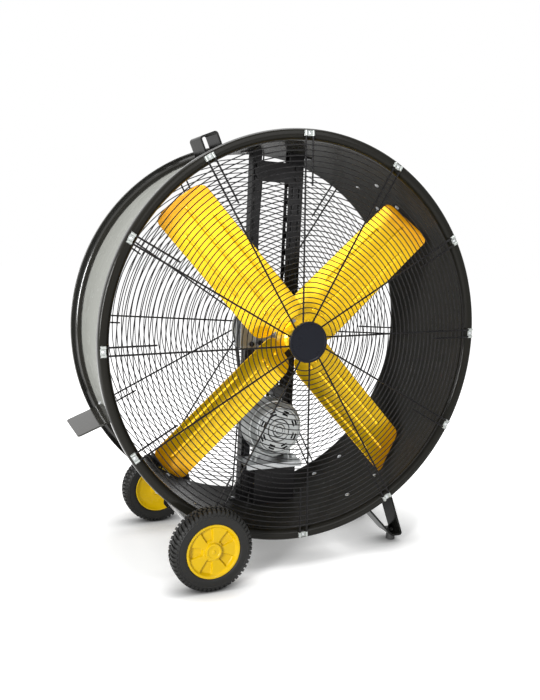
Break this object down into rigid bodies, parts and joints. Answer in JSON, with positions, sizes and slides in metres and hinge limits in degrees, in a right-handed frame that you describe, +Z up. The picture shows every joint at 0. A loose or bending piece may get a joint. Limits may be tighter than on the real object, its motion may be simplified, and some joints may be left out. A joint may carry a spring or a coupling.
{
  "type": "portable drum fan",
  "caption": "Wheeled drum fan: belt-driven bladed rotor in a round steel drum with wire guards, frame, motor, wheels, legs and handle.",
  "frame": {"origin": "middle of the overall box on the floor, so the fan axis stands 0.0116 m to +X of it", "axes": "front of the fan faces -Y, +X is the right-hand side seen from the front, +Z is up; the fan axis runs along Y at 0.584 m"},
  "size_m": [1.0454, 0.532, 1.095],
  "materials": {
    "drum_skin": "light grey coat outside, gloss black inside",
    "rim_black": "gloss black",
    "wire_black": "satin black",
    "clip_zinc": "zinc plated",
    "screw_zinc": "zinc plated",
    "badge_black": "gloss",
    "frame_black": "satin black",
    "plate_zinc": "zinc plated",
    "cast_dark": "painted dark grey",
    "steel": "ground steel",
    "blade_yellow": "gloss yellow",
    "motor_grey": "satin cast",
    "winding": "varnished copper",
    "can_black": "satin",
    "belt_rubber": "matte",
    "strap_black": "gloss black",
    "foot_rubber": "matte",
    "tyre_black": "matte",
    "hub_yellow": "gloss yellow",
    "box_black": "matte"
  },
  "bodies": {
    "fan_body": {"drum_shell": "drum_skin", "front_rim": "rim_black", "rear_rim": "rim_black", "drum_screws": "screw_zinc", "front_guard_rings": "wire_black", "front_guard_spokes": "wire_black", "front_guard_clips": "clip_zinc", "front_badge": "badge_black", "rear_guard_rings": "wire_black", "rear_guard_spokes": "wire_black", "rear_guard_clips": "clip_zinc", "rear_guard_hub": "wire_black", "clip_screws": "screw_zinc", "left_upright": "frame_black", "right_upright": "frame_black", "top_cross_plate": "frame_black", "front_bearing_plate": "plate_zinc", "rear_bearing_plate": "plate_zinc", "bearing_housings": "cast_dark", "bearing_inserts": "steel", "plate_bolts": "screw_zinc", "motor_bracket": "frame_black", "motor_plate": "plate_zinc", "motor_foot": "plate_zinc", "motor_frame": "motor_grey", "motor_front_bell": "motor_grey", "motor_rear_bell": "motor_grey", "motor_stator": "winding", "capacitor": "can_black", "motor_bolts": "screw_zinc", "v_belt": "belt_rubber", "top_handle": "strap_black", "tilt_step": "strap_black", "front_leg": "strap_black", "rear_leg": "strap_black", "leg_feet": "foot_rubber", "axle": "steel", "axle_brackets": "strap_black", "axle_clips": "screw_zinc", "switch_box": "box_black", "switch_cover": "box_black", "switch_screws": "screw_zinc", "cable_gland": "box_black"},
    "rotor": {"fan_shaft": "steel", "fan_hub": "blade_yellow", "blade_1": "blade_yellow", "blade_2": "blade_yellow", "blade_3": "blade_yellow", "blade_4": "blade_yellow", "blade_bolts": "screw_zinc", "fan_pulley": "cast_dark", "shaft_collars": "steel"},
    "motor_core": {"motor_rotor": "steel", "motor_pulley": "cast_dark"},
    "front_wheel": {"front_tyre": "tyre_black", "front_wheel_hub": "hub_yellow"},
    "rear_wheel": {"rear_tyre": "tyre_black", "rear_wheel_hub": "hub_yellow"},
    "knob": {"speed_knob": "box_black"}
  },
  "joints": [
    {"name": "fan_spin", "type": "hinge", "parent": "fan_body", "child": "rotor", "pos_m": [0.01162, -0.109, 0.584], "axis": [0, 1, 0], "continuous": true},
    {"name": "motor_spin", "type": "hinge", "parent": "fan_body", "child": "motor_core", "pos_m": [0.01162, 0, 0.327], "axis": [0, 1, 0], "continuous": true},
    {"name": "front_wheel_spin", "type": "hinge", "parent": "fan_body", "child": "front_wheel", "pos_m": [-0.23738, -0.241, 0.1], "axis": [0, 1, 0], "continuous": true},
    {"name": "rear_wheel_spin", "type": "hinge", "parent": "fan_body", "child": "rear_wheel", "pos_m": [-0.23738, 0.241, 0.1], "axis": [0, 1, 0], "continuous": true},
    {"name": "knob_turn", "type": "hinge", "parent": "fan_body", "child": "knob", "pos_m": [0.31066, 0.07, 1.00898], "axis": [0, 1, 0], "range_deg": [0, 120]}
  ],
  "couplings": [
    {"joint": "motor_spin", "follows": "fan_spin", "ratio": 2.2424}
  ]
}
